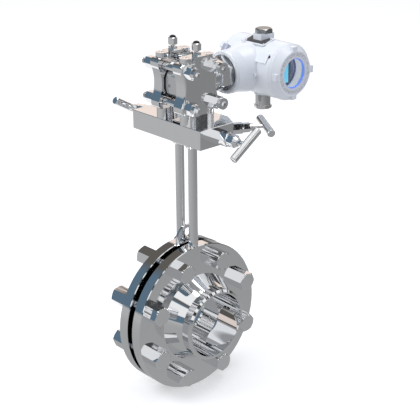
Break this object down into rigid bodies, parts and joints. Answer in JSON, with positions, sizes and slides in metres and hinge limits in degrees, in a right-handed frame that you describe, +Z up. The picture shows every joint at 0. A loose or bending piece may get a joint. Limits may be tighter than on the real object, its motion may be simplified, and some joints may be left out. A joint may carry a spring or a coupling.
{
  "type": "orifice plate flow meter",
  "caption": "Orifice plate clamped between weld neck pipe flanges, with impulse tubes rising to a three valve manifold and a differential pressure transmitter with a display.",
  "frame": {"origin": "centre of the inlet flange's weld end, on the pipe axis", "axes": "+X along the pipe, downstream; +Z up towards the transmitter; +Y towards the transmitter housing"},
  "size_m": [0.274, 0.316, 0.5566],
  "materials": {
    "flange_steel": "polished stainless steel",
    "plate_steel": "polished stainless steel",
    "gasket": "graphite sheet",
    "fastener_steel": "bright stainless steel",
    "tube_steel": "polished stainless steel",
    "block_steel": "mirror polished stainless steel",
    "seal_rubber": "black rubber",
    "valve_steel": "bright stainless steel",
    "cell_steel": "polished stainless steel",
    "module_steel": "machined stainless steel",
    "swivel_steel": "machined stainless steel",
    "vent_steel": "machined stainless steel",
    "vent_cap": "blackened steel",
    "white_paint": "white paint on cast aluminium",
    "grey_paint": "satin grey paint on cast aluminium",
    "window": "clear toughened glass",
    "post_brass": "plated brass",
    "dark_plastic": "dark moulded plastic",
    "screen": "lit liquid crystal screen",
    "plug": "dark steel",
    "gland_steel": "bright steel"
  },
  "bodies": {
    "meter": {"inlet_flange": "flange_steel", "outlet_flange": "flange_steel", "orifice_plate": "plate_steel", "inlet_gasket": "gasket", "outlet_gasket": "gasket", "flange_bolts": "fastener_steel", "flange_nuts": "fastener_steel", "inlet_impulse_tube": "tube_steel", "inlet_tube_fitting": "tube_steel", "outlet_impulse_tube": "tube_steel", "outlet_tube_fitting": "tube_steel", "manifold_block": "block_steel", "inlet_port_seal": "seal_rubber", "outlet_port_seal": "seal_rubber", "inlet_valve_bonnet": "valve_steel", "inlet_valve_gland_nut": "valve_steel", "outlet_valve_bonnet": "valve_steel", "outlet_valve_gland_nut": "valve_steel", "equalising_valve_bonnet": "valve_steel", "equalising_valve_gland_nut": "valve_steel", "inlet_process_flange": "cell_steel", "outlet_process_flange": "cell_steel", "cell_bolts": "fastener_steel", "cell_nuts": "fastener_steel", "foot_screws": "fastener_steel", "sensor_module": "module_steel", "inlet_cell_seal": "seal_rubber", "outlet_cell_seal": "seal_rubber", "swivel_nut": "swivel_steel", "inlet_vent_seat": "vent_steel", "outlet_vent_seat": "vent_steel"},
    "transmitter": {"housing": "white_paint", "display_posts": "post_brass", "display_module": "dark_plastic", "display_screen": "screen", "terminal_block": "dark_plastic", "conduit_plug": "plug", "cable_gland": "gland_steel", "gland_nut": "gland_steel"},
    "front_ring": {"front_seal_ring": "seal_rubber"},
    "front_lid": {"front_cover": "grey_paint", "window_glass": "window"},
    "rear_ring": {"rear_seal_ring": "seal_rubber"},
    "rear_lid": {"rear_cover": "white_paint"},
    "inlet_needle": {"inlet_valve_needle": "valve_steel"},
    "inlet_handle": {"inlet_valve_stem": "valve_steel", "inlet_valve_cross_bar": "valve_steel"},
    "outlet_needle": {"outlet_valve_needle": "valve_steel"},
    "outlet_handle": {"outlet_valve_stem": "valve_steel", "outlet_valve_cross_bar": "valve_steel"},
    "equalising_needle": {"equalising_valve_needle": "valve_steel"},
    "equalising_handle": {"equalising_valve_stem": "valve_steel", "equalising_valve_cross_bar": "valve_steel"},
    "inlet_vent_stem": {"inlet_vent_needle": "vent_steel"},
    "inlet_vent_knob": {"inlet_vent_cap": "vent_cap"},
    "outlet_vent_stem": {"outlet_vent_needle": "vent_steel"},
    "outlet_vent_knob": {"outlet_vent_cap": "vent_cap"}
  },
  "joints": [
    {"name": "inlet_valve_travel", "type": "slide", "parent": "meter", "child": "inlet_needle", "axis": [-1, 0, 0], "range_m": [0, 0.0046]},
    {"name": "inlet_valve_turn", "type": "hinge", "parent": "inlet_needle", "child": "inlet_handle", "pos_m": [-0.02, 0.006, 0.3036], "axis": [-1, 0, 0], "range_deg": [0, 1080]},
    {"name": "outlet_valve_travel", "type": "slide", "parent": "meter", "child": "outlet_needle", "axis": [1, 0, 0], "range_m": [0, 0.0046]},
    {"name": "outlet_valve_turn", "type": "hinge", "parent": "outlet_needle", "child": "outlet_handle", "pos_m": [0.131, 0.006, 0.3036], "axis": [1, 0, 0], "range_deg": [0, 1080]},
    {"name": "equalising_valve_travel", "type": "slide", "parent": "meter", "child": "equalising_needle", "axis": [0.4761, 0.8794, 0], "range_m": [0, 0.0046]},
    {"name": "equalising_valve_turn", "type": "hinge", "parent": "equalising_needle", "child": "equalising_handle", "pos_m": [0.1177, 0.0428, 0.3036], "axis": [0.4761, 0.8794, 0], "range_deg": [0, 1080]},
    {"name": "inlet_vent_travel", "type": "slide", "parent": "meter", "child": "inlet_vent_stem", "axis": [0, 0, 1], "range_m": [0, 0.0031]},
    {"name": "inlet_vent_turn", "type": "hinge", "parent": "inlet_vent_stem", "child": "inlet_vent_knob", "pos_m": [0.04035, 0, 0.4216], "axis": [0, 0, 1], "range_deg": [0, 1080]},
    {"name": "outlet_vent_travel", "type": "slide", "parent": "meter", "child": "outlet_vent_stem", "axis": [0, 0, 1], "range_m": [0, 0.0031]},
    {"name": "outlet_vent_turn", "type": "hinge", "parent": "outlet_vent_stem", "child": "outlet_vent_knob", "pos_m": [0.09165, 0, 0.4216], "axis": [0, 0, 1], "range_deg": [0, 1080]},
    {"name": "housing_swivel", "type": "hinge", "parent": "meter", "child": "transmitter", "pos_m": [0.066, 0.09, 0.372], "axis": [0, 1, 0], "range_deg": [-90, 90]},
    {"name": "front_cover_travel", "type": "slide", "parent": "transmitter", "child": "front_ring", "axis": [1, 0, 0], "range_m": [0, 0.0101]},
    {"name": "front_cover_turn", "type": "hinge", "parent": "front_ring", "child": "front_lid", "pos_m": [0.126, 0.154, 0.3705], "axis": [1, 0, 0], "range_deg": [0, 2400]},
    {"name": "rear_cover_travel", "type": "slide", "parent": "transmitter", "child": "rear_ring", "axis": [-1, 0, 0], "range_m": [0, 0.0101]},
    {"name": "rear_cover_turn", "type": "hinge", "parent": "rear_ring", "child": "rear_lid", "pos_m": [0.024, 0.154, 0.3705], "axis": [-1, 0, 0], "range_deg": [0, 2400]}
  ],
  "couplings": [
    {"joint": "inlet_valve_travel", "follows": "inlet_valve_turn", "m_per_rad": 0.00023873},
    {"joint": "outlet_valve_travel", "follows": "outlet_valve_turn", "m_per_rad": 0.00023873},
    {"joint": "equalising_valve_travel", "follows": "equalising_valve_turn", "m_per_rad": 0.00023873},
    {"joint": "inlet_vent_travel", "follows": "inlet_vent_turn", "m_per_rad": 0.00015915},
    {"joint": "outlet_vent_travel", "follows": "outlet_vent_turn", "m_per_rad": 0.00015915},
    {"joint": "front_cover_travel", "follows": "front_cover_turn", "m_per_rad": 0.00023873},
    {"joint": "rear_cover_travel", "follows": "rear_cover_turn", "m_per_rad": 0.00023873}
  ]
}
